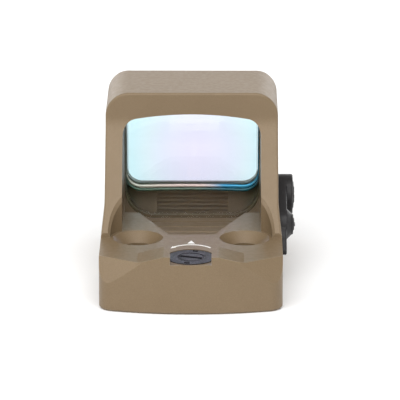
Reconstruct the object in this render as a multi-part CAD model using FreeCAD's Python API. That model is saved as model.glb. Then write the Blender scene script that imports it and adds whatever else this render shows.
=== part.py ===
import FreeCAD, Part
import math
import os

# Compact open reflex sight used as a red dot finder.
# Millimetres. +X is the user's right, +Y points at the target, +Z is up.
# The origin is midway between the two fixing screws, on the flat underside.

V = FreeCAD.Vector

# ---- Overall shape of the housing ----
base_width = 30.3
deck_height = 8.7
overall_height = 30.4
rear_reach = 14.7            # hole line back to the rear face
front_reach = 29.3           # hole line forward to the nose
rear_bow_radius = 52.0
rear_corner_radius = 2.8
front_corner_radius = 1.8
edge_round = 0.35

# ---- Hood round the lens ----
hood_step = 0.55             # hood narrower than the base, each side
hood_flare_height = 4.6
hood_corner_radius = 4.0
hood_wall = 2.9
hood_top_thickness = 3.7
hood_riser = 0.8
hood_rake_deg = 38.5
hood_band_y = 12.3           # rear face of the hood's top bar
hood_blend_radius = 4.0
waist_low_radius = 4.0
waist_high_radius = 20.0
hood_nose_setback = 1.2      # top of the nose behind its foot
window_arch_radius = 57.0
window_corner_radius = 2.7

# ---- Well and channel in front of the emitter ----
well_corner_radius = 5.0
plateau_front_y = 14.5
channel_start_y = 1.8
channel_start_half = 3.75
channel_end_half = 9.1
floor_skin = 0.7             # metal between the battery bay and the channel floor
groove_pitch = 3.0
groove_depth = 0.3
groove_width = 0.7

# ---- Lens pair ----
lens_rear_y = 23.4
rear_element_thickness = 2.0
front_element_thickness = 2.0
bond_thickness = 0.25
front_opening_inset = 0.35   # front opening inside the well's side walls
front_sill_height = 9.65
front_element_gap = 0.15
sill_ribs = 7
rib_half_width = 6.2
rib_depth = 0.3

# ---- Fixing screw holes ----
hole_spacing = 17.8
hole_radius = 2.35
countersink_radius = 4.2
countersink_depth = 1.6
scallop_extra = 0.47         # driver clearance cut into the hood's feet
scallop_chamfer = 0.4
boss_bore_radius = 1.9
boss_bore_depth = 2.4
boss_bore_spacing = 19.0
boss_bore_y = 25.6

# ---- Elevation dial and its shielding ears ----
dial_y = -10.3
dial_radius = 3.9
dial_height = 2.0
dial_recess = 0.08           # dial face below the deck
dial_clearance = 0.1
dial_ring_radius = 2.25
dial_ring_depth = 0.12
dial_slot_width = 0.8
dial_slot_depth = 0.9
dial_slot_angle_deg = -20.0
dial_notch_size = 1.0
ear_height = 1.15
ear_start_y = -8.5
ear_flat_outer = 4.45
ear_roof_outer = 8.75
ear_gap_rear = 3.4           # half of the gap between the ears at the rear
ear_gap_front = 4.6
rear_slot_drop = 0.2
facet_inner = 8.1            # rear corner facet: where it meets the rear edge
facet_outer_y = -9.9         # and where it meets the side edge
facet_slope_deg = 65.5

# ---- Elevation screw and carriage ----
elevation_screw_radius = 1.5
bush_wall = 1.1
bush_height = 1.2
bush_clearance = 0.06
thread_clearance = 0.05
arm_half_width = 2.3
arm_end_wall = 0.8
arm_end_gap = 0.25
arm_chamber_clearance = 0.6
carriage_half_width = 5.2
carriage_plate = 2.0
carriage_bottom = 2.3
carriage_clearance = 0.2
cheek_height = 1.6
cheek_inner = 3.6
guide_pin_radius = 0.6
guide_pin_x = 4.4
guide_pin_y = -0.6
spring_wire_radius = 0.12
spring_coil_radius = 0.78
spring_turns = 3

# ---- Emitter holder, nut and window ----
holder_half_width = 2.9
holder_height = 3.1
holder_back_y = -5.1
holder_front_y = 0.3
holder_travel = 0.4
led_radius = 1.1
led_height = 6.3
nut_half = 0.8
nut_depth = 2.2
nut_height = 1.9
nut_clearance = 0.05
chamber_back_y = -5.6
chamber_front_y = 0.9
emitter_opening_half = 1.4
emitter_pane_thickness = 0.5
emitter_pane_margin = 0.6

# ---- Windage dial ----
windage_y = -3.9
windage_z = 5.6
windage_dial_radius = 2.4
windage_dial_thickness = 1.5
windage_screw_radius = 0.75
windage_bush_length = 2.2
windage_bush_wall = 0.7
detent_ball_radius = 0.42
detent_gap = 0.08            # metal between a ball's seat and the bush
clip_thickness = 0.35
clip_inset = 0.45            # clip let into the chamber's side wall

# ---- Underside cover ----
cover_half_width = 5.9
cover_thickness = 0.8
gasket_thickness = 0.2
cover_margin = 0.5           # cover behind the rear end of the chamber
cover_front_y = 2.6
cover_clearance = 0.08
cover_corner_radius = 1.0
cover_screw_x = 4.75
cover_screw_rear_y = -12.1
cover_screw_front_y = 1.75
cover_screw_radius = 0.45
cover_screw_head_radius = 0.8
cover_screw_head_height = 0.4
cover_screw_length = 2.4

# ---- Battery and its tray ----
cell_radius = 8.0
cell_thickness = 3.2
cell_y = 14.0
tray_floor = 0.25
tray_wall = 0.7
tray_lift = 0.65             # underside of the tray above the housing's flat
tray_clearance = 0.06
contact_gap = 0.2
tray_cap_thickness = 1.1
tray_cap_rear_y = 2.5
tray_gasket_width = 0.5
tray_screw_y = 3.6
tray_screw_radius = 0.5
tray_screw_head_radius = 0.9

# ---- Keypad on the right side ----
key_up_y = 13.5
key_up_z = 12.3
key_up_collar = 3.5
key_up_radius = 2.5
key_down_y = 6.0
key_down_z = 9.3
key_down_collar = 1.8
key_down_radius = 1.2
key_down_foot = 2.6
key_tail_y = 1.0
key_tail_z = 6.1
key_tail_radius = 0.65
keypad_proud = 0.9           # keypad plate above the side of the base
tail_proud = 0.85
collar_proud = 2.0
key_proud = 2.3
key_travel = 0.3
key_clearance = 0.08
keypad_pocket_clearance = 0.05
board_thickness = 0.5
board_inset = 0.25
wall_behind_board = 0.8
switch_height = 0.25
switch_radius = 1.0
stem_radius = 0.7

# ---- Paint on the deck ----
paint_thickness = 0.03
arc_paint_radius = 3.84
arc_paint_width = 0.3
arc_paint_half_angle_deg = 56.0
arc_paint_y = -7.75
triangle_gap = 0.55
triangle_width = 1.2
triangle_length = 1.6

# ---- Values worked out from the ones above ----
base_half = base_width / 2
hood_half = base_half - hood_step
tunnel_half = hood_half - hood_wall
tunnel_top = overall_height - hood_top_thickness
hole_x = hole_spacing / 2
bay_floor = tray_lift - tray_clearance
cell_bottom = tray_lift + tray_floor
cell_top = cell_bottom + cell_thickness
bay_ceiling = cell_top + contact_gap
channel_floor = bay_ceiling + floor_skin
lens_seat_y = lens_rear_y + rear_element_thickness
nose_top_y = front_reach - hood_nose_setback
dial_top = deck_height - dial_recess
dial_bottom = dial_top - dial_height
web_top = dial_bottom - dial_clearance
web_bottom = web_top - bush_height
cover_top = cover_thickness
chamber_bottom = cover_thickness + gasket_thickness
carriage_top = carriage_bottom + carriage_plate
holder_bottom = carriage_top + thread_clearance
holder_top = holder_bottom + holder_height
chamber_ceiling = deck_height - floor_skin
shoulder_z = deck_height - countersink_depth - floor_skin
arm_end_radius = elevation_screw_radius + arm_end_wall
chamber_rear_y = dial_y - arm_end_radius - arm_end_gap
cover_rear_y = chamber_rear_y - cover_margin
clip_radius = windage_screw_radius + 0.55
clip_seat = carriage_half_width + carriage_clearance + clip_inset
board_back = tunnel_half + wall_behind_board
board_front = board_back + board_thickness
keypad_back = board_front + switch_height + key_travel
far = 80.0                   # longer than anything in the sight


# ---- Shape helpers ----
def box(x0, x1, y0, y1, z0, z1):
    return Part.makeBox(x1 - x0, y1 - y0, z1 - z0, V(x0, y0, z0))


def rod(radius, start, end):
    along = end.sub(start)
    return Part.makeCylinder(radius, along.Length, start, along)


def joined(shapes):
    whole = shapes[0]
    if len(shapes) > 1:
        whole = whole.multiFuse(shapes[1:])
    return whole.removeSplitter()


def minus(shape, cutters):
    return shape.cut(Part.Compound(cutters)).removeSplitter()


def rounded_face(points, radii, place):
    """Closed outline with each corner rounded by its own radius; place lifts (u, v) into space."""
    count = len(points)
    starts = []
    middles = []
    ends = []
    for i in range(count):
        before = points[i - 1]
        corner = points[i]
        after = points[(i + 1) % count]
        back = (before[0] - corner[0], before[1] - corner[1])
        on = (after[0] - corner[0], after[1] - corner[1])
        back_length = math.hypot(*back)
        on_length = math.hypot(*on)
        back = (back[0] / back_length, back[1] / back_length)
        on = (on[0] / on_length, on[1] / on_length)
        half = math.acos(max(-1.0, min(1.0, back[0] * on[0] + back[1] * on[1]))) / 2
        reach = radii[i] / math.tan(half)
        starts.append((corner[0] + back[0] * reach, corner[1] + back[1] * reach))
        ends.append((corner[0] + on[0] * reach, corner[1] + on[1] * reach))
        middle = (back[0] + on[0], back[1] + on[1])
        middle_length = math.hypot(*middle)
        depth = radii[i] / math.sin(half) - radii[i]
        scale = depth / middle_length if radii[i] else 0.0
        middles.append((corner[0] + middle[0] * scale, corner[1] + middle[1] * scale))
    edges = []
    for i in range(count):
        if radii[i]:
            arc = Part.Arc(place(*starts[i]), place(*middles[i]), place(*ends[i]))
            edges.append(arc.toShape())
        begin = place(*ends[i])
        finish = place(*starts[(i + 1) % count])
        if begin.sub(finish).Length > 1e-6:
            edges.append(Part.LineSegment(begin, finish).toShape())
    return Part.Face(Part.Wire(edges))


def in_plan(z):
    return lambda u, v: V(u, v, z)


def in_front_view(y):
    return lambda u, v: V(u, y, v)


def in_side_view(x):
    return lambda u, v: V(x, u, v)


def plan_prism(points, z0, z1, radii=None):
    face = rounded_face(points, radii or [0.0] * len(points), in_plan(z0))
    return face.extrude(V(0, 0, z1 - z0))


def side_prism(points, x0, x1, radii=None):
    face = rounded_face(points, radii or [0.0] * len(points), in_side_view(x0))
    return face.extrude(V(x1 - x0, 0, 0))


def rounded_box(half_x, y0, y1, z0, z1, radius):
    points = [(-half_x, y0), (half_x, y0), (half_x, y1), (-half_x, y1)]
    return plan_prism(points, z0, z1, [radius] * 4)


def edges_where(shape, test):
    return [edge for edge in shape.Edges if test(edge)]


def both_sides(shape):
    return [shape, shape.mirror(V(0, 0, 0), V(1, 0, 0))]


def window_prism(half, z_low, z_top, low_round, y0, y1, inset=0.0):
    """Lens-shaped prism: straight sides, a shallow arched top and rounded corners."""
    half = half - inset
    z_low = z_low + inset
    z_top = z_top - inset
    radius = window_arch_radius - inset
    spring = z_top - radius + math.sqrt(radius ** 2 - half ** 2)
    left_top = V(-half, y0, spring)
    right_top = V(half, y0, spring)
    edges = [
        Part.LineSegment(V(-half, y0, z_low), V(half, y0, z_low)).toShape(),
        Part.LineSegment(V(half, y0, z_low), right_top).toShape(),
        Part.Arc(right_top, V(0, y0, z_top), left_top).toShape(),
        Part.LineSegment(left_top, V(-half, y0, z_low)).toShape(),
    ]
    prism = Part.Face(Part.Wire(edges)).extrude(V(0, y1 - y0, 0))

    def runs_along(edge, upper):
        box_of = edge.BoundBox
        middle = (box_of.ZMin + box_of.ZMax) / 2
        level = spring if upper else z_low
        return box_of.YLength > abs(y1 - y0) * 0.99 and abs(middle - level) < 1e-3

    upper_edges = edges_where(prism, lambda edge: runs_along(edge, True))
    prism = prism.makeFillet(window_corner_radius - inset, upper_edges)
    if low_round:
        lower_edges = edges_where(prism, lambda edge: runs_along(edge, False))
        prism = prism.makeFillet(low_round - inset, lower_edges)
    return prism


# ---- Housing ----
def plan_outline():
    """The housing seen from above: a bowed rear edge and rounded corners."""
    side_y = -rear_reach + rear_bow_radius - math.sqrt(rear_bow_radius ** 2 - base_half ** 2)
    left = V(-base_half, side_y, 0)
    right = V(base_half, side_y, 0)
    front_right = V(base_half, front_reach, 0)
    front_left = V(-base_half, front_reach, 0)
    edges = [
        Part.Arc(left, V(0, -rear_reach, 0), right).toShape(),
        Part.LineSegment(right, front_right).toShape(),
        Part.LineSegment(front_right, front_left).toShape(),
        Part.LineSegment(front_left, left).toShape(),
    ]
    prism = Part.Face(Part.Wire(edges)).extrude(V(0, 0, overall_height))

    def upright(edge, rear):
        middle_y = edge.BoundBox.Center.y
        near = side_y if rear else front_reach
        return edge.BoundBox.ZLength > overall_height * 0.99 and abs(middle_y - near) < 1e-3

    prism = prism.makeFillet(rear_corner_radius, edges_where(prism, lambda edge: upright(edge, True)))
    return prism.makeFillet(front_corner_radius, edges_where(prism, lambda edge: upright(edge, False)))


def front_outline():
    """The housing seen from behind: straight base, slight waist and a round-shouldered hood."""
    waist = deck_height + hood_flare_height
    right = [(base_half, 0), (base_half, deck_height), (hood_half, waist), (hood_half, overall_height)]
    left = [(-x, z) for x, z in reversed(right)]
    radii = [0.0, waist_low_radius, waist_high_radius, hood_corner_radius]
    face = rounded_face(right + left, radii + radii[::-1], in_front_view(-rear_reach - 1))
    return face.extrude(V(0, rear_reach + front_reach + 2, 0))


def side_outline():
    """The housing seen from the side: low rear deck, raked hood and upright nose."""
    foot_z = deck_height + hood_riser
    bend_z = foot_z + hood_band_y / math.tan(math.radians(hood_rake_deg))
    points = [
        (-rear_reach - 1, 0),
        (-rear_reach - 1, deck_height),
        (0, deck_height),
        (0, foot_z),
        (hood_band_y, bend_z),
        (hood_band_y, overall_height),
        (nose_top_y, overall_height),
        (front_reach, deck_height + hood_riser),
        (front_reach, 0),
    ]
    radii = [0, 0, 0, 0, hood_blend_radius, 0, edge_round * 2, hood_blend_radius, 0]
    return side_prism(points, -far / 2, far / 2, radii)


def outer_body():
    body = front_outline().common(side_outline()).common(plan_outline()).removeSplitter()

    def hood_rim(edge):
        middle = edge.valueAt((edge.FirstParameter + edge.LastParameter) / 2)
        behind = middle.y < hood_band_y + 1e-3 and middle.z > deck_height + hood_riser + 1e-3
        flat = edge.BoundBox.ZLength < 1e-3 and middle.z < overall_height - 1e-3
        return behind and not flat

    def underside(edge):
        return edge.BoundBox.ZMax < 1e-3

    body = body.makeFillet(edge_round, edges_where(body, hood_rim))
    return body.makeChamfer(edge_round, edges_where(body, underside))


def ears():
    """Two low shields beside the elevation dial, each with a roof that falls away outwards."""
    top = deck_height + ear_height
    low = deck_height - 0.5
    profile = [
        (ear_gap_rear, low),
        (ear_roof_outer, low),
        (ear_roof_outer, deck_height),
        (ear_flat_outer, top),
        (ear_gap_rear, top),
    ]
    face = rounded_face(profile, [0.0] * 5, in_front_view(-rear_reach - 1))
    ear = face.extrude(V(0, rear_reach + 1 + ear_start_y, 0))
    plan = plan_outline()
    return [side.common(plan) for side in both_sides(ear)]


def ear_gap():
    """The space between the ears, wider towards the target, and the shallow slot behind the dial."""
    points = [
        (-ear_gap_rear, -rear_reach - 1),
        (ear_gap_rear, -rear_reach - 1),
        (ear_gap_rear, dial_y - dial_radius * 0.6),
        (ear_gap_front, ear_start_y + 0.5),
        (-ear_gap_front, ear_start_y + 0.5),
        (-ear_gap_rear, dial_y - dial_radius * 0.6),
    ]
    gap = plan_prism(points, deck_height, deck_height + ear_height + 1)
    slot_floor = deck_height - rear_slot_drop
    slot = box(-ear_gap_rear, ear_gap_rear, -rear_reach - 1, dial_y, slot_floor, deck_height + 1)
    return [gap, slot]


def corner_facet():
    """Cutter for the sloping facet at the right rear corner."""
    bow = rear_bow_radius - math.sqrt(rear_bow_radius ** 2 - facet_inner ** 2)
    inner = V(facet_inner, -rear_reach + bow, deck_height)
    outer = V(base_half, facet_outer_y, deck_height)
    along = outer.sub(inner).normalize()
    outward = V(along.y, -along.x, 0)
    slope = math.radians(facet_slope_deg)
    down = outward * math.cos(slope) - V(0, 0, 1) * math.sin(slope)
    normal = outward * math.sin(slope) + V(0, 0, 1) * math.cos(slope)
    corners = [
        inner - along * far - down * far,
        inner + along * far - down * far,
        inner + along * far + down * far,
        inner - along * far + down * far,
    ]
    face = Part.Face(Part.makePolygon(corners + corners[:1]))
    return face.extrude(normal * far)


def screw_cutters():
    """Through hole, conical seat, driver scallop and recoil bore, on the right-hand side."""
    hole = rod(hole_radius, V(hole_x, 0, -1), V(hole_x, 0, deck_height + 1))
    seat = deck_height - countersink_depth
    cone = Part.makeCone(hole_radius, countersink_radius, countersink_depth, V(hole_x, 0, seat), V(0, 0, 1))
    scallop_radius = countersink_radius + scallop_extra
    scallop = rod(scallop_radius, V(hole_x, 0, deck_height), V(hole_x, 0, overall_height))
    boss = rod(boss_bore_radius, V(boss_bore_spacing / 2, boss_bore_y, -1),
               V(boss_bore_spacing / 2, boss_bore_y, boss_bore_depth))
    return [hole, cone, scallop, boss]


def scallop_rims(body):
    """Edges where the driver scallops meet the raked feet of the hood."""
    radius = countersink_radius + scallop_extra

    def on_rim(edge):
        middle = edge.valueAt((edge.FirstParameter + edge.LastParameter) / 2)
        off_axis = math.hypot(abs(middle.x) - hole_x, middle.y)
        raked = edge.BoundBox.ZLength > 1.0 and edge.BoundBox.YLength > 1.0
        return abs(off_axis - radius) < 1e-3 and raked and abs(middle.x) > tunnel_half

    return edges_where(body, on_rim)


def view_cutters():
    """The tunnel through the hood, the well before the lens and the emitter's channel."""
    tunnel = window_prism(tunnel_half, deck_height, tunnel_top, 0.0, -1, lens_seat_y)
    well = window_prism(tunnel_half, channel_floor, tunnel_top, well_corner_radius,
                        plateau_front_y, lens_seat_y)
    channel = plan_prism([
        (-channel_start_half, channel_start_y),
        (channel_start_half, channel_start_y),
        (channel_end_half, plateau_front_y + 0.01),
        (-channel_end_half, plateau_front_y + 0.01),
    ], channel_floor, deck_height + 1)
    opening = window_prism(
        tunnel_half, front_sill_height - front_opening_inset, tunnel_top,
        window_corner_radius + front_opening_inset, lens_seat_y - 1, front_reach + 1, front_opening_inset)
    return [tunnel, well, channel, opening]


def sill_line():
    """Lower and upper ends of the sloping sill under the front opening, in the side view."""
    low = V(0, lens_seat_y, channel_floor + bond_thickness)
    high = V(0, nose_top_y - 0.4, front_sill_height)
    return low, high


def sill_cutter():
    """The smooth slope of the sill, kept inside the lens well's rounded outline."""
    low, high = sill_line()
    start = lens_seat_y - 0.5
    top = front_sill_height + 0.5
    slope = side_prism([(start, top), (start, low.z), (low.y, low.z), (high.y, high.z), (high.y, top)],
                       -far / 2, far / 2)
    return slope.common(window_prism(tunnel_half, channel_floor, tunnel_top, well_corner_radius,
                                     start, front_reach, bond_thickness))


def sill_grooves():
    """Cross grooves that leave ribs on the sill, to break up stray light."""
    low, high = sill_line()
    along = high.sub(low)
    pitch = along * (1.0 / sill_ribs)
    into = V(0, along.z, -along.y).normalize() * rib_depth
    cutters = []
    for i in range(sill_ribs):
        start = low + pitch * (i + 0.15)
        end = low + pitch * (i + 0.85)
        bottom = (start + end) * 0.5 + into
        lift = into * -0.1
        points = [(point.y, point.z) for point in (start + lift, bottom, end + lift)]
        cutters.append(side_prism(points, -rib_half_width, rib_half_width))
    return cutters


def floor_grooves():
    """Shallow cross grooves in the channel floor that break up stray light."""
    cutters = []
    y = lens_rear_y - groove_pitch * 0.67
    while y > channel_start_y + groove_pitch:
        reach = (y - channel_start_y) / (plateau_front_y - channel_start_y)
        half = channel_start_half + (channel_end_half - channel_start_half) * min(reach, 1.0)
        half = min(half, channel_end_half - 1.1) - 0.4
        cutters.append(side_prism([
            (y - groove_width / 2, channel_floor + 0.01),
            (y, channel_floor - groove_depth),
            (y + groove_width / 2, channel_floor + 0.01),
        ], -half, half))
        y -= groove_pitch
    return cutters


def elevation_cutters():
    """Dial pocket, bush seat, detent pocket and the chamber for the carriage's arm."""
    axis = V(0, dial_y, 0)
    up = V(0, 0, 1)
    pocket_radius = dial_radius + dial_clearance
    bush_radius = elevation_screw_radius + bush_clearance + bush_wall
    arm_half = arm_half_width + arm_chamber_clearance
    pocket = rod(pocket_radius, axis + up * web_top, axis + up * (deck_height + 0.001))
    seat = rod(bush_radius, axis + up * (web_bottom - 0.5), axis + up * (web_top + 0.5))
    detent_x = bush_radius + detent_ball_radius + detent_gap
    ball_floor = web_top - 2 * detent_ball_radius
    detent = rod(detent_ball_radius, V(detent_x, dial_y, ball_floor), V(detent_x, dial_y, web_top + 0.1))
    chamber = rounded_box(arm_half, chamber_rear_y, chamber_back_y + 0.5, 0, web_bottom, 0.8)
    return [pocket, seat, detent, chamber]


def chamber_cutters():
    """The emitter chamber, its narrow upper part, the guide pin holes and the emitter's window."""
    half = carriage_half_width + carriage_clearance
    lower = rounded_box(half, chamber_back_y, chamber_front_y, 0, shoulder_z, 0.5)
    upper_half = holder_half_width + holder_travel + 0.3
    upper = rounded_box(upper_half, chamber_back_y, chamber_front_y, shoulder_z - 0.5, chamber_ceiling, 0.5)
    pin = rod(guide_pin_radius, V(guide_pin_x, guide_pin_y, 0), V(guide_pin_x, guide_pin_y, pin_top()))
    low, high = emitter_opening_span()
    half_hole = emitter_opening_half
    hole = box(-half_hole, half_hole, chamber_front_y - 0.5, channel_start_y + 0.5, low, high)
    pane = emitter_opening_half + emitter_pane_margin
    recess = box(-pane, pane, pane_back(), channel_start_y + 0.5, low - 0.3, high + 0.2)
    return [lower, upper, hole, recess] + both_sides(pin)


def pin_top():
    return shoulder_z + 0.45


def pane_back():
    return channel_start_y - emitter_pane_thickness - 0.1


def emitter_opening_span():
    return led_height - 1.0, chamber_ceiling - 0.25


def windage_cutters():
    """Dial pocket in the right side, bush seat, shaft bore and detent pocket."""
    axis = V(0, windage_y, windage_z)
    right = V(1, 0, 0)
    pocket_floor = base_half - windage_dial_thickness - 0.1
    bush_radius = windage_screw_radius + bush_clearance + windage_bush_wall
    floor = axis + right * pocket_floor
    chamber_side = axis + right * carriage_half_width
    pocket = rod(windage_dial_radius + dial_clearance, floor, axis + right * (base_half + 1))
    seat = rod(bush_radius, axis + right * (pocket_floor - windage_bush_length), floor + right * 0.5)
    bore = rod(windage_screw_radius + bush_clearance + 0.1, chamber_side, floor)
    ball_z = windage_z - bush_radius - detent_ball_radius - detent_gap
    detent = rod(detent_ball_radius, V(pocket_floor - 2 * detent_ball_radius, windage_y, ball_z),
                 V(pocket_floor + 0.1, windage_y, ball_z))
    relief = rod(clip_radius + dial_clearance, chamber_side, axis + right * clip_seat)
    return [pocket, seat, bore, detent, relief]


def cover_cutters():
    """Recess for the underside cover and the pilot holes of its screws."""
    half = cover_half_width + cover_clearance
    recess = rounded_box(half, cover_rear_y - cover_clearance, cover_front_y + cover_clearance,
                         -1, chamber_bottom, cover_corner_radius)
    depth = cover_screw_length + 0.2
    pilots = [rod(cover_screw_radius, V(x, y, 0), V(x, y, depth)) for x, y in cover_screw_places()]
    return [recess] + pilots


def cover_screw_places():
    rows = (cover_screw_rear_y, cover_screw_front_y)
    return [(x, y) for x in (-cover_screw_x, cover_screw_x) for y in rows]


def tray_reach():
    """Half length of the tray along Y, and its inner end along X."""
    return cell_radius + tray_wall


def tray_cutters():
    """Battery bay, the recess for the tray's cap and the bore of its locking screw."""
    reach = tray_reach() + tray_clearance
    top = bay_ceiling
    bay = box(-base_half - 1, reach, cell_y - reach, cell_y + reach, bay_floor, top)
    cap = box(-base_half - 1, -base_half + tray_cap_thickness + tray_clearance,
              tray_cap_rear_y - tray_clearance, cell_y + reach, bay_floor, top)
    screw = rod(tray_screw_radius + tray_clearance, V(-base_half, tray_screw_y, cap_middle()),
                V(-base_half + 3.6, tray_screw_y, cap_middle()))
    return [bay, cap, screw]


def cap_middle():
    return (tray_lift + cell_top) / 2


def tapered_bar(start, start_radius, end, end_radius, x0, x1):
    """Solid over the common outline of two circles in the side view, from x0 to x1."""
    gap = math.hypot(end[0] - start[0], end[1] - start[1])
    heading = math.atan2(end[1] - start[1], end[0] - start[0])
    lean = math.acos((start_radius - end_radius) / gap)

    def on_circle(centre, radius, angle):
        return V(x0, centre[0] + radius * math.cos(angle), centre[1] + radius * math.sin(angle))

    left_start = on_circle(start, start_radius, heading + lean)
    right_start = on_circle(start, start_radius, heading - lean)
    left_end = on_circle(end, end_radius, heading + lean)
    right_end = on_circle(end, end_radius, heading - lean)
    edges = [
        Part.Arc(left_start, on_circle(start, start_radius, heading + math.pi), right_start).toShape(),
        Part.LineSegment(right_start, right_end).toShape(),
        Part.Arc(right_end, on_circle(end, end_radius, heading), left_end).toShape(),
        Part.LineSegment(left_end, left_start).toShape(),
    ]
    return Part.Face(Part.Wire(edges)).extrude(V(x1 - x0, 0, 0))


def keypad_plate(x0, x1, grow=0.0):
    return tapered_bar((key_up_y, key_up_z), key_up_collar + grow,
                       (key_down_y, key_down_z), key_down_foot + grow, x0, x1)


def keypad_tail(x0, x1, grow=0.0):
    return tapered_bar((key_down_y, key_down_z), key_down_foot - 0.6 + grow,
                       (key_tail_y, key_tail_z), key_tail_radius + grow, x0, x1)


def tail_back():
    return max(keypad_back, hole_x + countersink_radius + 0.6)


def keypad_cutters():
    gap = keypad_pocket_clearance
    return [keypad_plate(board_back, base_half + 5, gap), keypad_tail(tail_back() - gap, base_half + 5, gap)]


def housing():
    body = joined([outer_body()] + ears())
    body = minus(body, elevation_cutters())
    facet = corner_facet()
    body = minus(body, ear_gap() + both_sides(facet))
    body = minus(body, view_cutters() + [sill_cutter()])
    body = minus(body, floor_grooves() + sill_grooves())
    screws = [side for cutter in screw_cutters() for side in both_sides(cutter)]
    body = minus(body, screws)
    body = body.makeChamfer(scallop_chamfer, scallop_rims(body))
    body = minus(body, chamber_cutters() + cover_cutters())
    body = minus(body, windage_cutters() + tray_cutters())
    return minus(body, keypad_cutters())


# ---- Optics ----
def lens_rear_element():
    return window_prism(tunnel_half, channel_floor, tunnel_top, well_corner_radius,
                        lens_rear_y, lens_seat_y, bond_thickness)


def lens_bond():
    start = lens_rear_y + bond_thickness
    outer = window_prism(tunnel_half, channel_floor, tunnel_top, well_corner_radius, start, lens_seat_y)
    return outer.cut(lens_rear_element())


def lens_front_element():
    inset = front_opening_inset + front_element_gap
    return window_prism(tunnel_half, front_sill_height - front_opening_inset, tunnel_top,
                        window_corner_radius + front_opening_inset,
                        lens_seat_y, lens_seat_y + front_element_thickness, inset)


def emitter_window():
    low, high = emitter_opening_span()
    pane = emitter_opening_half + emitter_pane_margin - 0.03
    return box(-pane, pane, pane_back(), pane_back() + emitter_pane_thickness, low - 0.27, high + 0.17)


def deck_mark():
    """Painted arc arrow in front of the dial, with a plain triangle above it for the raising direction."""
    spread = math.radians(arc_paint_half_angle_deg)
    base = deck_height

    def at(radius, angle):
        return V(radius * math.sin(angle), arc_paint_y + radius * math.cos(angle), base)

    inner = arc_paint_radius - arc_paint_width / 2
    outer = arc_paint_radius + arc_paint_width / 2
    edges = [
        Part.Arc(at(outer, -spread), at(outer, 0), at(outer, spread)).toShape(),
        Part.LineSegment(at(outer, spread), at(inner, spread)).toShape(),
        Part.Arc(at(inner, spread), at(inner, 0), at(inner, -spread)).toShape(),
        Part.LineSegment(at(inner, -spread), at(outer, -spread)).toShape(),
    ]
    arc = Part.Face(Part.Wire(edges)).extrude(V(0, 0, paint_thickness))
    tip = at(arc_paint_radius, -spread - 0.1)
    head = Part.Face(Part.makePolygon([
        tip, at(outer + 0.25, -spread + 0.16), at(inner - 0.25, -spread + 0.16), tip,
    ])).extrude(V(0, 0, paint_thickness))
    foot = arc_paint_y + outer + triangle_gap
    half = triangle_width / 2
    triangle = Part.Face(Part.makePolygon([
        V(-half, foot, base), V(half, foot, base), V(0, foot + triangle_length, base), V(-half, foot, base),
    ])).extrude(V(0, 0, paint_thickness))
    return Part.Compound([arc.fuse(head).removeSplitter(), triangle])


# ---- Elevation adjuster ----
def elevation_dial():
    centre = V(0, dial_y, 0)
    up = V(0, 0, 1)
    dial = rod(dial_radius, centre + up * dial_bottom, centre + up * dial_top)
    ring = rod(dial_ring_radius, centre + up * (dial_top - dial_ring_depth), centre + up * (dial_top + 1))
    boss = rod(dial_ring_radius - 0.3, centre + up * (dial_top - 0.5), centre + up * (dial_top - 0.03))
    slot = box(-dial_ring_radius * 0.85, dial_ring_radius * 0.85, -dial_slot_width / 2, dial_slot_width / 2,
               dial_top - dial_slot_depth, dial_top + 1)
    slot.rotate(V(0, 0, 0), up, dial_slot_angle_deg)
    slot.translate(centre)
    notches = []
    for turn in (-12.0, 168.0):
        notch = box(-dial_notch_size / 2, dial_notch_size / 2, dial_radius - 0.95, dial_radius - 0.25,
                    dial_top - 0.3, dial_top + 1)
        notch.rotate(V(0, 0, 0), up, turn)
        notch.translate(centre)
        notches.append(notch)
    dial = joined([minus(dial, [ring]), boss])
    return minus(dial, [slot] + notches)


def elevation_screw():
    centre = V(0, dial_y, 0)
    up = V(0, 0, 1)
    return rod(elevation_screw_radius, centre + up * (chamber_bottom + 0.4), centre + up * dial_bottom)


def elevation_bush():
    centre = V(0, dial_y, 0)
    up = V(0, 0, 1)
    bore = elevation_screw_radius + bush_clearance
    outer = rod(bore + bush_wall, centre + up * web_bottom, centre + up * web_top)
    return outer.cut(rod(bore, centre + up * (web_bottom - 1), centre + up * (web_top + 1)))


def emitter_carriage():
    """Lifting plate with an arm back to the elevation screw and two cheeks on the guide pins."""
    plate = box(-carriage_half_width, carriage_half_width, chamber_back_y + carriage_clearance,
                chamber_front_y - carriage_clearance, carriage_bottom, carriage_top)
    arm = box(-arm_half_width, arm_half_width, dial_y, 0, carriage_bottom, carriage_top)
    end = rod(arm_end_radius, V(0, dial_y, carriage_bottom), V(0, dial_y, carriage_top))
    cheeks = [box(side[0], side[1], guide_pin_y - 1.3, chamber_front_y - carriage_clearance,
                  carriage_top - 0.5, carriage_top + cheek_height)
              for side in ((-carriage_half_width, -cheek_inner), (cheek_inner, carriage_half_width))]
    body = joined([plate, arm, end] + cheeks)
    holes = [rod(guide_pin_radius + thread_clearance, V(side * guide_pin_x, guide_pin_y, 0),
                 V(side * guide_pin_x, guide_pin_y, far)) for side in (-1, 1)]
    nut = rod(elevation_screw_radius + thread_clearance, V(0, dial_y, 0), V(0, dial_y, far))
    return minus(body, holes + [nut])


def guide_pins():
    return Part.Compound([rod(guide_pin_radius, V(side * guide_pin_x, guide_pin_y, chamber_bottom + 0.02),
                              V(side * guide_pin_x, guide_pin_y, pin_top())) for side in (-1, 1)])


def coil(x, y, z0, z1):
    """Compression spring as a round wire swept along a helix."""
    height = z1 - z0 - 2 * spring_wire_radius
    helix = Part.makeHelix(height / spring_turns, height, spring_coil_radius)
    section = Part.Wire(Part.makeCircle(spring_wire_radius, V(spring_coil_radius, 0, 0), V(0, 1, 0)))
    solid = Part.Wire(helix).makePipeShell([section], True, True)
    solid.translate(V(x, y, z0 + spring_wire_radius))
    return solid


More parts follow.
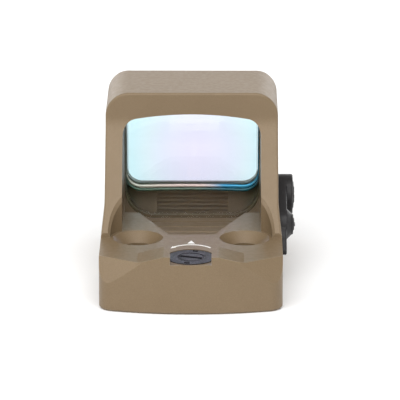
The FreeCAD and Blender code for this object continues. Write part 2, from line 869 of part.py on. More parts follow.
def carriage_springs():
    return Part.Compound([coil(side * guide_pin_x, guide_pin_y, cover_top + 0.02, carriage_bottom - 0.02)
                          for side in (-1, 1)])


# ---- Emitter and windage adjuster ----
def emitter_holder():
    block = box(-holder_half_width, holder_half_width, holder_back_y, holder_front_y,
                holder_bottom, holder_top)
    nut_slot = box(-nut_half - nut_clearance, nut_half + nut_clearance, holder_back_y - 1,
                   windage_y + nut_depth / 2 + nut_clearance, holder_bottom - 1, holder_top + 1)
    reach = windage_screw_radius + nut_clearance
    shaft_slot = box(-far, far, windage_y - reach, windage_y + reach,
                     holder_bottom - 1, windage_z + reach + holder_travel + 0.1)
    led_bore = rod(led_radius, V(0, holder_front_y - 2.0, led_height), V(0, holder_front_y + 1, led_height))
    return minus(block, [nut_slot, shaft_slot, led_bore])


def led_module():
    body = rod(led_radius, V(0, holder_front_y - 2.0, led_height), V(0, holder_front_y - 0.1, led_height))
    lip_end = V(0, holder_front_y + 0.15, led_height)
    lip = rod(led_radius * 0.6, V(0, holder_front_y - 0.5, led_height), lip_end)
    return joined([body, lip])


def windage_nut():
    block = box(-nut_half, nut_half, windage_y - nut_depth / 2, windage_y + nut_depth / 2,
                windage_z - nut_height / 2 + 0.25, windage_z + nut_height / 2 + 0.25)
    low = box(-nut_half, nut_half, windage_y - nut_depth / 2, windage_y + nut_depth / 2,
              carriage_top + holder_travel + 0.05, windage_z)
    bore = rod(windage_screw_radius + thread_clearance,
               V(-far, windage_y, windage_z), V(far, windage_y, windage_z))
    return minus(joined([block, low]), [bore])


def windage_dial():
    axis = V(0, windage_y, windage_z)
    right = V(1, 0, 0)
    face = base_half - 0.02
    dial = rod(windage_dial_radius, axis + right * (face - windage_dial_thickness), axis + right * face)
    slot = box(face - 0.7, face + 1, -windage_dial_radius * 0.7, windage_dial_radius * 0.7, -0.4, 0.4)
    slot.translate(axis)
    return minus(dial, [slot])


def windage_screw():
    axis = V(0, windage_y, windage_z)
    right = V(1, 0, 0)
    start = base_half - 0.02 - windage_dial_thickness
    return rod(windage_screw_radius, axis - right * (nut_half + holder_travel + 0.4), axis + right * start)


def windage_clip():
    """Spring clip on the shaft, let into the chamber's side wall and bearing on it."""
    axis = V(0, windage_y, windage_z)
    right = V(1, 0, 0)
    face = clip_seat - 0.03
    ring = rod(clip_radius, axis + right * (face - clip_thickness), axis + right * face)
    return ring.cut(windage_screw())


def windage_bush():
    axis = V(0, windage_y, windage_z)
    right = V(1, 0, 0)
    end = base_half - windage_dial_thickness - 0.1
    bore = windage_screw_radius + bush_clearance
    outer = rod(bore + windage_bush_wall, axis + right * (end - windage_bush_length), axis + right * end)
    return outer.cut(rod(bore, axis + right * (end - far), axis + right * (end + 1)))


def detent_balls():
    bush_radius = elevation_screw_radius + bush_clearance + bush_wall
    detent_x = bush_radius + detent_ball_radius + detent_gap
    radius = detent_ball_radius - 0.02
    elevation = Part.makeSphere(radius, V(detent_x, dial_y, dial_bottom - radius - 0.02))
    side_bush = windage_screw_radius + bush_clearance + windage_bush_wall
    ball_z = windage_z - side_bush - detent_ball_radius - detent_gap
    dial_back = base_half - 0.02 - windage_dial_thickness
    windage = Part.makeSphere(radius, V(dial_back - radius - 0.02, windage_y, ball_z))
    return Part.Compound([elevation, windage])


# ---- Underside cover ----
def bottom_cover():
    plate = rounded_box(cover_half_width, cover_rear_y, cover_front_y, 0, cover_top, cover_corner_radius)
    holes = []
    for x, y in cover_screw_places():
        holes.append(rod(cover_screw_radius + 0.05, V(x, y, -1), V(x, y, 2)))
        holes.append(rod(cover_screw_head_radius + 0.05, V(x, y, -1), V(x, y, cover_screw_head_height)))
    return minus(plate, holes)


def cover_gasket():
    sheet = rounded_box(cover_half_width, cover_rear_y, cover_front_y,
                        cover_top, chamber_bottom, cover_corner_radius)
    half = carriage_half_width + carriage_clearance
    arm_half = arm_half_width + arm_chamber_clearance
    inside = [
        rounded_box(half, chamber_back_y, chamber_front_y, 0, 2, 0.5),
        rounded_box(arm_half, chamber_rear_y, chamber_back_y + 0.5, 0, 2, 0.8),
    ]
    holes = [rod(cover_screw_radius + 0.05, V(x, y, 0), V(x, y, 2)) for x, y in cover_screw_places()]
    return minus(sheet, inside + holes)


def cover_screws():
    screws = []
    for x, y in cover_screw_places():
        head = rod(cover_screw_head_radius, V(x, y, 0.02), V(x, y, cover_screw_head_height))
        shank = rod(cover_screw_radius, V(x, y, 0.02), V(x, y, cover_screw_length))
        drive = box(x - 0.5, x + 0.5, y - 0.1, y + 0.1, -1, 0.25)
        screws.append(minus(joined([head, shank]), [drive]))
    return Part.Compound(screws)


# ---- Battery ----
def battery_cell():
    lower = Part.makeCylinder(cell_radius - 0.6, 0.4, V(0, cell_y, cell_bottom), V(0, 0, 1))
    upper = Part.makeCylinder(cell_radius, cell_thickness - 0.4, V(0, cell_y, cell_bottom + 0.4), V(0, 0, 1))
    rim = [edge for edge in upper.Edges if edge.BoundBox.ZMin > cell_top - 1e-3]
    return joined([lower, upper.makeFillet(0.3, rim)])


def battery_tray():
    reach = tray_reach()
    inner = box(-base_half, reach, cell_y - reach, cell_y + reach, tray_lift, cell_top)
    cap_front = -base_half + tray_cap_thickness
    cap = box(-base_half, cap_front, tray_cap_rear_y, cell_y + reach, tray_lift, cell_top)
    body = joined([inner, cap])
    seat = Part.makeCylinder(cell_radius + tray_clearance, far, V(0, cell_y, cell_bottom), V(0, 0, 1))
    contact_way = box(cell_radius * 0.5, far, cell_y - 2.0, cell_y + 2.0, cell_bottom, far)
    middle = cap_middle()
    nail = box(-base_half - 1, -base_half + 0.5, cell_y - 3.0, cell_y + 3.0, middle - 0.45, middle + 0.45)
    groove_start = cap_front + 0.9
    groove = box(groove_start, groove_start + tray_gasket_width, -far, far, -far, far)
    core = box(-far, far, cell_y - reach + 0.4, cell_y + reach - 0.4, tray_lift + 0.4, cell_top - 0.4)
    screw_way = rod(tray_screw_radius + 0.05, V(-far, tray_screw_y, middle), V(far, tray_screw_y, middle))
    head_way = rod(tray_screw_head_radius + 0.05, V(-far, tray_screw_y, middle),
                   V(-base_half + 0.6, tray_screw_y, middle))
    return minus(body, [seat, contact_way, nail, groove.cut(core), screw_way, head_way])


def tray_gasket():
    reach = tray_reach()
    start = -base_half + tray_cap_thickness + 0.9
    grow = tray_clearance * 0.5
    outer = box(start, start + tray_gasket_width, cell_y - reach - grow, cell_y + reach + grow,
                tray_lift - grow, cell_top + contact_gap * 0.5)
    core = box(-far, far, cell_y - reach + 0.4, cell_y + reach - 0.4, tray_lift + 0.4, cell_top - 0.4)
    return outer.cut(core)


def tray_screw():
    middle = cap_middle()
    head_end = -base_half + 0.6
    tip = V(-base_half + 3.4, tray_screw_y, middle)
    head = rod(tray_screw_head_radius, V(-base_half + 0.05, tray_screw_y, middle),
               V(head_end, tray_screw_y, middle))
    shank = rod(tray_screw_radius, V(head_end - 0.1, tray_screw_y, middle), tip)
    drive = box(-far, -base_half + 0.35, tray_screw_y - 0.6, tray_screw_y + 0.6,
                middle - 0.12, middle + 0.12)
    return minus(joined([head, shank]), [drive])


def top_contact():
    """Leaf on the bay's ceiling that rests on the cell's upper face."""
    reach = tray_reach()
    return box(-2.0, reach, cell_y - 1.5, cell_y + 1.5, cell_top + 0.03, bay_ceiling)


def rim_contact():
    """Tab on the bay's end wall that touches the cell's rim."""
    reach = tray_reach()
    middle = cap_middle()
    return box(cell_radius + 0.05, reach + tray_clearance, cell_y - 1.6, cell_y + 1.6,
               middle - 0.9, middle + 0.9)


# ---- Keypad ----
def keypad_boot():
    """Rubber boot: a plate with a guard collar round each key and a tail down the side."""
    plate = keypad_plate(keypad_back, base_half + keypad_proud)
    tail = keypad_tail(tail_back(), base_half + tail_proud)
    top = base_half + collar_proud
    foot = base_half + keypad_proud
    upper = rod(key_up_collar, V(keypad_back, key_up_y, key_up_z), V(top, key_up_y, key_up_z))
    lower = Part.makeCone(key_down_foot, key_down_collar, top - foot,
                          V(foot, key_down_y, key_down_z), V(1, 0, 0))
    body = joined([plate, tail, upper, lower])
    gap = key_clearance
    ways = [
        rod(key_up_radius + gap, V(0, key_up_y, key_up_z), V(far, key_up_y, key_up_z)),
        rod(key_down_radius + gap, V(0, key_down_y, key_down_z), V(far, key_down_y, key_down_z)),
    ]
    return minus(body, ways)


def key(y, z, radius):
    """A push key with its stem ending just above the switch."""
    top = base_half + key_proud
    shoulder = keypad_back + 0.5
    cap = rod(radius, V(shoulder, y, z), V(top, y, z))
    rim = [edge for edge in cap.Edges if edge.BoundBox.XMin > top - 1e-3]
    cap = cap.makeFillet(0.25, rim)
    stem_end = board_front + switch_height + key_travel + 0.05
    stem = rod(stem_radius, V(stem_end, y, z), V(shoulder + 0.1, y, z))
    return joined([cap, stem])


def control_board():
    return keypad_plate(board_back + 0.02, board_front, -board_inset)


def key_switches():
    top = board_front + switch_height
    places = ((key_up_y, key_up_z), (key_down_y, key_down_z))
    return Part.Compound([rod(switch_radius, V(board_front, y, z), V(top, y, z)) for y, z in places])


# ---- Every sub-part under its own name ----
def sub_parts():
    return {
        "housing": housing(),
        "lens_rear_element": lens_rear_element(),
        "lens_front_element": lens_front_element(),
        "lens_bond": lens_bond(),
        "emitter_window": emitter_window(),
        "deck_mark": deck_mark(),
        "elevation_dial": elevation_dial(),
        "elevation_screw": elevation_screw(),
        "elevation_bush": elevation_bush(),
        "emitter_carriage": emitter_carriage(),
        "guide_pins": guide_pins(),
        "carriage_springs": carriage_springs(),
        "emitter_holder": emitter_holder(),
        "led_module": led_module(),
        "windage_nut": windage_nut(),
        "windage_dial": windage_dial(),
        "windage_screw": windage_screw(),
        "windage_clip": windage_clip(),
        "windage_bush": windage_bush(),
        "detent_balls": detent_balls(),
        "bottom_cover": bottom_cover(),
        "cover_gasket": cover_gasket(),
        "cover_screws": cover_screws(),
        "battery_cell": battery_cell(),
        "battery_tray": battery_tray(),
        "tray_gasket": tray_gasket(),
        "tray_screw": tray_screw(),
        "top_contact": top_contact(),
        "rim_contact": rim_contact(),
        "keypad_boot": keypad_boot(),
        "key_up": key(key_up_y, key_up_z, key_up_radius),
        "key_down": key(key_down_y, key_down_z, key_down_radius),
        "control_board": control_board(),
        "key_switches": key_switches(),
    }


def main():
    os.makedirs("parts", exist_ok=True)
    for name, shape in sub_parts().items():
        if not shape.isValid():
            raise ValueError(name + " is not a valid shape")
        shape.exportStep("parts/" + name + ".step")


main()
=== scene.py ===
import math

import bpy
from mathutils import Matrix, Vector


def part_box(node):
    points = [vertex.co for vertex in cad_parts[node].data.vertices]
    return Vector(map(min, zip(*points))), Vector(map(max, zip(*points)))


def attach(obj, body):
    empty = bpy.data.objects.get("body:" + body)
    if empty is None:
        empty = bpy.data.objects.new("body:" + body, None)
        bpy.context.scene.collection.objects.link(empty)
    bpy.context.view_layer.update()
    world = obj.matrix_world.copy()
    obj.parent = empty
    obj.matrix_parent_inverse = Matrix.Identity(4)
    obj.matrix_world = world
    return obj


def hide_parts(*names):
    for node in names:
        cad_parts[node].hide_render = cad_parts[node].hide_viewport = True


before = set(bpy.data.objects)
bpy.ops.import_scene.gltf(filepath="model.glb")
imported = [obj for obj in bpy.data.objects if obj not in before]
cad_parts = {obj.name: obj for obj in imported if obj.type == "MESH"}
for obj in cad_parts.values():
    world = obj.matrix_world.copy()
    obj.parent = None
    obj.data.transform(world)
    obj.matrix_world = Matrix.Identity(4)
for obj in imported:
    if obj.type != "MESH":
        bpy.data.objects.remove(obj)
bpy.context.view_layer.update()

# Looks of a compact open reflex sight. Metres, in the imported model's frame:
# +X is the user's right, +Y points at the target, +Z is up.

MM = 0.001
ROOT = "root"

# ---- Lens ----
REAR_PLATE = 1.2 * MM          # visible thickness of the rear element
LENS_BEVEL = 0.06 * MM
LENS_FIT = 0.02 * MM           # lens pieces inside the walls of their seat
BEAD = 0.14 * MM               # bead of cement behind the rear element
LENS_DISH = 0.45 * MM          # depth of each lens surface's shallow dish
ARCH_RADIUS = 57 * MM          # curve of the window's top edge
TOP_CORNER = 2.7 * MM
WELL_CORNER = 5.0 * MM
SIDE_BAND = 0.38 * MM          # edge band of painted reflection beside the clear view
SILL_BAND_TOP = 0.95 * MM      # top of the painted-reflection edge band under it, above the sill's lip
SILL_BAND_DROP = 0.80 * MM     # foot of that band, below the sill's lip
SILL_BOW = 0.40 * MM           # rise of the band's foot at mid width
BAND_CORNER = 3.0 * MM
CLEAR_CORNER = 2.6 * MM        # lower corners of the clear view
BAND_GAP = 0.05 * MM           # between the rear plate and the bands
BAND_SETBACK = 0.14 * MM       # both gaps, before and behind the bands
FRONT_GAP = 0.1 * MM           # between the bands and the front element
OUTLINE_POINTS = 160

# ---- Rubber keypad ----
PAD_ROUND = 0.3 * MM
PAD_PLATE_PROUD = 0.9 * MM     # plate above the side of the base
PAD_TAIL_PROUD = 0.85 * MM
TAIL_RADIUS = 0.65 * MM
FOOT_EXTRA = 0.8 * MM          # foot of the lower collar beyond its top
COLLAR_WALL = 0.6 * MM
COLLAR_ROOT = 0.3 * MM         # collars start this far above the pad's base
TAIL_ROOT = 0.4 * MM           # tail starts this far inside the side of the base
KEY_GAP = 0.20 * MM
KEY_TRAVEL = 0.35 * MM         # room under a key for its press
KEY_FIT = 0.02 * MM
KEY_MARK = 0.14 * MM           # height of the plus and minus
VOXEL = 0.085 * MM


# ---- Lamps and floor ----
SKY_STRENGTH = 0.60
BACKDROP_GAIN = 2.5
KEY_ELEVATION = 57             # degrees above the floor
KEY_DISTANCE = 4.0
KEY_POWER = 165
FILL_POWER = 22
SIDE_POWER = 20
FLOOR_HALF = 4.0

# ---- Camera ----
CAMERA_DISTANCE = 0.600
CAMERA_ELEVATION = 16.7        # degrees
CAMERA_AZIMUTH = 0.3           # degrees to the user's right
CAMERA_LENS = 324


# ---- Node helpers ----
def tone(red, green, blue):
    """Linear colour from display values of 0 to 255."""
    def linear(value):
        share = value / 255
        return share / 12.92 if share <= 0.04045 else ((share + 0.055) / 1.055) ** 2.4
    return (linear(red), linear(green), linear(blue), 1.0)


class Surface:
    """A material with its shader, and short ways of adding detail in object space."""

    def __init__(self, name, **values):
        self.material = bpy.data.materials.new(name)
        self.material.use_nodes = True
        self.nodes = self.material.node_tree.nodes
        self.links = self.material.node_tree.links
        self.shader = self.nodes["Principled BSDF"]
        self.place = self.nodes.new("ShaderNodeTexCoord").outputs["Object"]
        for socket, value in values.items():
            self.shader.inputs[socket.replace("_", " ")].default_value = value

    def link(self, output, socket):
        self.links.new(output, self.shader.inputs[socket])

    def noise(self, size, detail=2.0, stretch=(1, 1, 1)):
        """Noise from 0 to 1 whose grains are about that size in metres."""
        mapping = self.nodes.new("ShaderNodeMapping")
        mapping.inputs["Scale"].default_value = stretch
        texture = self.nodes.new("ShaderNodeTexNoise")
        texture.inputs["Scale"].default_value = 1 / size
        texture.inputs["Detail"].default_value = detail
        self.links.new(self.place, mapping.inputs["Vector"])
        self.links.new(mapping.outputs["Vector"], texture.inputs["Vector"])
        return texture.outputs["Fac"]

    def spread(self, value, low, high, start=0.0, end=1.0):
        """value from low to high becomes start to end, held beyond them."""
        node = self.nodes.new("ShaderNodeMapRange")
        node.interpolation_type = "SMOOTHSTEP"
        self.links.new(value, node.inputs["Value"])
        node.inputs["From Min"].default_value = low
        node.inputs["From Max"].default_value = high
        node.inputs["To Min"].default_value = start
        node.inputs["To Max"].default_value = end
        return node.outputs["Result"]

    def maths(self, kind, first, second=None):
        node = self.nodes.new("ShaderNodeMath")
        node.operation = kind
        for socket, value in zip(node.inputs, (first, second)):
            if isinstance(value, (int, float)):
                socket.default_value = value
            elif value is not None:
                self.links.new(value, socket)
        return node.outputs["Value"]

    def axes(self):
        node = self.nodes.new("ShaderNodeSeparateXYZ")
        self.links.new(self.place, node.inputs["Vector"])
        return node.outputs["X"], node.outputs["Y"], node.outputs["Z"]

    def mix(self, share, first, second, kind="MIX"):
        node = self.nodes.new("ShaderNodeMix")
        node.data_type = "RGBA"
        node.blend_type = kind
        sockets = (node.inputs["Factor"], node.inputs[6], node.inputs[7])
        for socket, value in zip(sockets, (share, first, second)):
            if isinstance(value, (int, float, tuple)):
                socket.default_value = value
            else:
                self.links.new(value, socket)
        return node.outputs[2]

    def ramp(self, value, stops):
        node = self.nodes.new("ShaderNodeValToRGB")
        while len(node.color_ramp.elements) < len(stops):
            node.color_ramp.elements.new(0.5)
        for element, (position, colour) in zip(node.color_ramp.elements, stops):
            element.position = position
            element.color = colour
        self.links.new(value, node.inputs["Fac"])
        return node.outputs["Color"]

    def edges(self, radius):
        """1 at sharp edges, 0 on flats."""
        rounded = self.nodes.new("ShaderNodeBevel")
        rounded.samples = 6
        rounded.inputs["Radius"].default_value = radius
        flat = self.nodes.new("ShaderNodeNewGeometry")
        dot = self.nodes.new("ShaderNodeVectorMath")
        dot.operation = "DOT_PRODUCT"
        self.links.new(rounded.outputs["Normal"], dot.inputs[0])
        self.links.new(flat.outputs["Normal"], dot.inputs[1])
        return self.spread(dot.outputs["Value"], 0.995, 0.85)

    def bump(self, layers):
        """Relief from (height, depth in metres) pairs, one on another."""
        normal = None
        for height, depth in layers:
            node = self.nodes.new("ShaderNodeBump")
            node.inputs["Distance"].default_value = depth
            node.inputs["Strength"].default_value = 1.0
            self.links.new(height, node.inputs["Height"])
            if normal is not None:
                self.links.new(normal, node.inputs["Normal"])
            normal = node.outputs["Normal"]
        self.links.new(normal, self.shader.inputs["Normal"])


# ---- Materials ----
def tan_anodised():
    """Bead-blasted aluminium with a tan anodised layer, a little paler along its edges from a painted edge
    highlight.
    """
    s = Surface("tan_anodised", Metallic=0.08, IOR=1.5, Specular_IOR_Level=0.38)
    cloud = s.mix(s.noise(6 * MM, 3.0), tone(114, 96, 72), tone(121, 103, 79))
    speck = s.spread(s.noise(0.16 * MM, 1.0), 0.30, 0.72)
    grained = s.mix(speck, tone(242, 241, 239), tone(255, 255, 255))
    blasted = s.mix(1.0, cloud, grained, "MULTIPLY")
    # Lighter tan along sharp edges: a painted edge highlight.
    painted_edge_highlight = s.mix(s.maths("MULTIPLY", s.edges(0.12 * MM), 0.35), blasted, tone(178, 163, 140))
    s.link(painted_edge_highlight, "Base Color")
    s.link(s.spread(s.noise(0.8 * MM, 3.0), 0.3, 0.7, 0.40, 0.48), "Roughness")
    s.bump([(s.noise(0.22 * MM, 2.0), 0.0035 * MM), (s.noise(0.09 * MM, 1.0), 0.002 * MM)])
    return s.material


def dark_anodised():
    """Blue-black anodised dials and screw heads with a fine grained relief."""
    s = Surface("dark_anodised", Metallic=0.25, Specular_IOR_Level=0.35)
    cloud = s.mix(s.noise(1.4 * MM, 3.0), tone(30, 28, 32), tone(38, 36, 41))
    # Lighter grey along sharp edges: a painted edge highlight.
    painted_edge_highlight = s.mix(s.maths("MULTIPLY", s.edges(0.06 * MM), 0.5), cloud, tone(128, 126, 130))
    s.link(painted_edge_highlight, "Base Color")
    s.link(s.spread(s.noise(0.3 * MM, 2.0), 0.3, 0.7, 0.36, 0.52), "Roughness")
    s.bump([(s.noise(0.12 * MM, 2.0), 0.005 * MM)])
    return s.material


def black_aluminium():
    s = Surface("black_aluminium", Metallic=0.4, Coat_Weight=0.1, Coat_Roughness=0.4)
    s.link(s.mix(s.noise(2 * MM, 3.0), tone(34, 34, 37), tone(46, 45, 48)), "Base Color")
    s.link(s.spread(s.noise(0.4 * MM, 2.0), 0.3, 0.7, 0.4, 0.55), "Roughness")
    s.bump([(s.noise(0.18 * MM, 2.0), 0.008 * MM)])
    return s.material


def black_rubber():
    """Moulded silicone rubber, satin, with a fine tooled grain."""
    s = Surface("black_rubber", Specular_IOR_Level=0.32)
    dust = s.spread(s.noise(0.5 * MM, 4.0), 0.55, 0.8)
    base = s.mix(s.noise(3 * MM, 2.0), tone(20, 18, 19), tone(28, 26, 27))
    s.link(s.mix(s.maths("MULTIPLY", dust, 0.2), base, tone(84, 78, 76)), "Base Color")
    s.link(s.spread(s.noise(0.7 * MM, 2.0), 0.3, 0.7, 0.36, 0.52), "Roughness")
    s.bump([(s.noise(0.14 * MM, 2.0), 0.010 * MM)])
    return s.material


def white_paint():
    """Screen-printed paint, slightly uneven where it has rubbed."""
    s = Surface("white_paint", Roughness=0.55)
    rubbed = s.spread(s.noise(0.25 * MM, 3.0), 0.58, 0.75)
    s.link(s.mix(rubbed, tone(240, 240, 238), tone(202, 196, 184)), "Base Color")
    s.bump([(s.noise(0.1 * MM, 2.0), 0.008 * MM)])
    return s.material


def metal(name, low, high, size, smooth, rough, stretch=(1, 1, 1)):
    """Bare metal whose colour and gloss wander between two values."""
    s = Surface(name, Metallic=1.0)
    grain = s.noise(size, 4.0, stretch)
    s.link(s.mix(grain, low, high), "Base Color")
    s.link(s.spread(grain, 0.3, 0.7, smooth, rough), "Roughness")
    s.bump([(grain, 0.006 * MM)])
    return s.material


def board_green():
    """Solder mask over copper tracks on a thin circuit board."""
    s = Surface("board_green", Coat_Weight=0.4, Coat_Roughness=0.2)
    rows = s.nodes.new("ShaderNodeTexWave")
    rows.bands_direction = "Z"
    rows.inputs["Scale"].default_value = 420
    rows.inputs["Distortion"].default_value = 1.5
    s.links.new(s.place, rows.inputs["Vector"])
    track = s.spread(rows.outputs["Fac"], 0.72, 0.8)
    s.link(s.mix(track, tone(22, 70, 44), tone(44, 112, 66)), "Base Color")
    s.link(s.spread(s.noise(0.6 * MM), 0.3, 0.7, 0.35, 0.5), "Roughness")
    s.bump([(track, 0.03 * MM)])
    return s.material


def lens_cement():
    """Dark cement that holds the glass, glossy where it has crept."""
    s = Surface("lens_cement")
    s.link(s.mix(s.noise(1.1 * MM, 3.0), tone(120, 110, 88), tone(132, 122, 100)), "Base Color")
    s.link(s.spread(s.noise(0.6 * MM), 0.3, 0.7, 0.2, 0.45), "Roughness")
    s.bump([(s.noise(0.5 * MM, 2.0), 0.02 * MM)])
    return s.material


def coated_lens(name, low, high):
    """Rear lens tinted by its dichroic coating: the lavender middle and cyan sides are a painted coating
    reflection; almost clear low down, with a painted green cast at the lower sides.
    """
    s = Surface(name, Roughness=0.0, IOR=1.5, Transmission_Weight=1.0)
    x, _, z = s.axes()
    middle_x = (low.x + high.x) / 2 + 0.8 * MM
    middle_z = low.z + (high.z - low.z) * 0.52
    across = s.maths("DIVIDE", s.maths("SUBTRACT", x, middle_x), (high.x - low.x) / 2)
    up = s.maths("DIVIDE", s.maths("SUBTRACT", z, middle_z), (high.z - low.z) * 0.75)
    squared = s.maths("ADD", s.maths("POWER", s.maths("ABSOLUTE", across), 2.0), s.maths("MULTIPLY", up, up))
    uneven = s.maths("ADD", squared, s.maths("MULTIPLY", s.noise(9 * MM, 1.0), 0.12))
    # Lavender middle to cyan sides: the coating's reflection painted into the glass tint.
    view = s.ramp(uneven, [
        (0.05, tone(233, 228, 250)),
        (0.30, tone(227, 231, 249)),
        (0.62, tone(221, 238, 247)),
        (1.0, tone(208, 238, 246)),
    ])
    low_zone_tint = s.mix(s.spread(x, -6 * MM, 6 * MM), tone(254, 255, 252), tone(255, 253, 250))
    # Greenish at the lower sides: a painted cast of green light that passes through the coating.
    sides = s.spread(s.maths("ABSOLUTE", x), 8.4 * MM, 11.2 * MM)
    low_zone_tint = s.mix(sides, low_zone_tint, tone(232, 247, 240))
    fade = s.spread(z, 9.6 * MM, 10.6 * MM)
    s.link(s.mix(fade, low_zone_tint, view), "Base Color")
    return s.material


def plain_glass(name, low_tint, high_tint, size):
    """Clear glass with a faint unevenness of tint."""
    s = Surface(name, Roughness=0.0, IOR=1.5, Transmission_Weight=1.0)
    s.link(s.mix(s.noise(size, 1.0), low_tint, high_tint), "Base Color")
    return s.material


def edge_band(name, left, right, turn, width, roughness):
    """Lens edge band of painted reflection, whose colour turns from one to the other across the window."""
    s = Surface(name, Metallic=0.35, Roughness=roughness, Coat_Weight=0.3, Coat_Roughness=0.15)
    x, _, _ = s.axes()
    wandering = s.maths("ADD", x, s.maths("MULTIPLY", s.noise(2.2 * MM, 2.0), 2.5 * MM))
    s.link(s.mix(s.spread(wandering, turn, turn + width), left, right), "Base Color")
    s.bump([(s.noise(0.5 * MM, 2.0), 0.01 * MM)])
    return s.material


def cad_materials():
    """One procedural material for each of the record's slots that a CAD node still shows."""
    return {
        "tan_anodised": tan_anodised(),
        "dark_anodised": dark_anodised(),
        "black_aluminium": black_aluminium(),
        "black_rubber": black_rubber(),
        "white_paint": white_paint(),
        "lens_cement": lens_cement(),
        "board_green": board_green(),
        "clear_glass": plain_glass("clear_glass", tone(240, 250, 250), tone(250, 252, 255), 1 * MM),
        "spring_steel": metal("spring_steel", tone(150, 150, 154), tone(196, 196, 198), 0.3 * MM, 0.22, 0.4),
        "bush_brass": metal("bush_brass", tone(190, 148, 78), tone(224, 186, 112), 0.3 * MM, 0.2, 0.38),
        "contact_gold": metal("contact_gold", tone(214, 168, 88), tone(236, 198, 122), 0.5 * MM, 0.18, 0.3),
        "cell_steel": metal("cell_steel", tone(186, 188, 192), tone(214, 216, 220), 0.5 * MM, 0.12, 0.3,
                            (1, 6, 1)),
    }


def dress_cad_nodes(materials):
    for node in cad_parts.values():
        for place in node.material_slots:
            name = place.material.name.split(".")[0]
            if name in materials:
                place.material = materials[name]


# ---- Mesh helpers ----
def mesh_object(name, points, faces, material):
    mesh = bpy.data.meshes.new(name)
    mesh.from_pydata(points, [], faces)
    mesh.validate()
    mesh.materials.append(material)
    piece = bpy.data.objects.new(name, mesh)
    bpy.context.scene.collection.objects.link(piece)
    return piece


def smooth(piece, angle_deg=35):
    piece.data.shade_smooth()
    piece.data.set_sharp_from_angle(angle=math.radians(angle_deg))
    return piece


def loft(loops, closed=False):
    """Points and faces of a skin over equal loops: closed on itself, or capped at both ends."""
    count = len(loops[0])
    points = [point for loop in loops for point in loop]
    faces = []
    last = len(loops) if closed else len(loops) - 1
    for i in range(last):
        here = i * count
        on = (i + 1) % len(loops) * count
        for j in range(count):
            k = (j + 1) % count
            faces.append((here + j, here + k, on + k, on + j))
    if not closed:
        faces.append(tuple(range(count))[::-1])
        faces.append(tuple(range((len(loops) - 1) * count, len(loops) * count)))
    return points, faces


def arc_points(centre, radius, start, end, steps):
    return [(centre[0] + radius * math.cos(start + (end - start) * i / steps),
             centre[1] + radius * math.sin(start + (end - start) * i / steps)) for i in range(steps + 1)]


def arch_outline(half, low, top, low_round, steps=10):
    """Window outline in X and Z: rounded corners and a shallow arched top, anticlockwise from the bottom."""
    arch_centre = top - ARCH_RADIUS
    corner_x = half - TOP_CORNER
    corner_z = arch_centre + math.sqrt((ARCH_RADIUS - TOP_CORNER) ** 2 - corner_x ** 2)
    lean = math.atan2(corner_z - arch_centre, corner_x)
    low_right = arc_points((half - low_round, low + low_round), low_round, -math.pi / 2, 0, steps)
    top_right = arc_points((corner_x, corner_z), TOP_CORNER, 0, lean, steps)
    crown = arc_points((0, arch_centre), ARCH_RADIUS, lean, math.pi - lean, steps * 2)
    right = low_right + top_right
    left = [(-x, z) for x, z in reversed(right)]
    return even_points(right + crown[1:-1] + left, OUTLINE_POINTS)


def even_points(outline, count):
    """That many points, evenly spaced round a closed outline."""
    closed = outline + outline[:1]
    lengths = [math.dist(a, b) for a, b in zip(closed, closed[1:])]
    step = sum(lengths) / count
    spaced = []
    travelled = 0.0
    for (a, b), length in zip(zip(closed, closed[1:]), lengths):
        while len(spaced) < count and len(spaced) * step <= travelled + length:
            share = (len(spaced) * step - travelled) / length if length else 0.0
            spaced.append((a[0] + (b[0] - a[0]) * share, a[1] + (b[1] - a[1]) * share))
        travelled += length
    return spaced


# ---- Lens pieces ----
def lens_plate(name, half, low, top, low_round, rear, thickness, material):
    """Meniscus plate: bevelled edge, and both faces dished the same way."""
    outline = arch_outline(half, low, top, low_round)
    inner = arch_outline(half - LENS_BEVEL, low + LENS_BEVEL, top - LENS_BEVEL, low_round - LENS_BEVEL)
    middle = (low + top) / 2
    reach = math.hypot(half, (top - low) / 2)

    def face_rings(shares):
        rings = []
        for share in shares:
            ring = []
            for x, z in inner:
                flat_x = x * share
                flat_z = middle + (z - middle) * share
                away = math.hypot(flat_x, flat_z - middle) / reach
                ring.append((flat_x, LENS_DISH * (1 - away ** 2), flat_z))
            rings.append(ring)
        return rings

    def at(ring, offset):
        return [Vector((x, offset + y, z)) for x, y, z in ring]

    def edge(offset):
        return [Vector((x, offset, z)) for x, z in outline]

    shares = [0.04 + 0.96 * i / 14 for i in range(15)]
    rings = face_rings(shares)
    rim = [y for _, y, _ in rings[-1]]
    front = rear + thickness
    loops = [at(ring, rear) for ring in rings]
    loops.append([p + Vector((0, y + LENS_BEVEL, 0)) for p, y in zip(edge(rear), rim)])
    loops.append([p + Vector((0, y - LENS_BEVEL, 0)) for p, y in zip(edge(front), rim)])
    loops += [at(ring, front) for ring in reversed(rings)]
    piece = mesh_object(name, *loft(loops), material)
    return smooth(piece, 25)


def edge_ring(name, shares, rear, depth, clear, rim, material):
    """Rounded bead along the lens edge, between two shares of the way from the rim to the clear view.

    The rim and the clear view are each a half width, foot, top, foot radius and rise of the foot at
    mid width.
    """
    def outline(share):
        half, low, top, low_round, bow = [a + (b - a) * share for a, b in zip(rim, clear)]
        middle = (low + top) / 2
        return [(x, z + bow * max(0.0, 1 - (x / half) ** 2) * (z < middle))
                for x, z in arch_outline(half, low, top, low_round)]

    steps = 8
    start, end = shares
    loops = []
    for i in range(steps):
        angle = 2 * math.pi * i / steps
        share = start + (end - start) * (1 - math.cos(angle)) / 2
        y = rear + depth * (1 - math.sin(angle)) / 2
        loops.append([Vector((x, y, z)) for x, z in outline(share)])
    piece = mesh_object(name, *loft(loops, closed=True), material)
    return smooth(piece, 80)


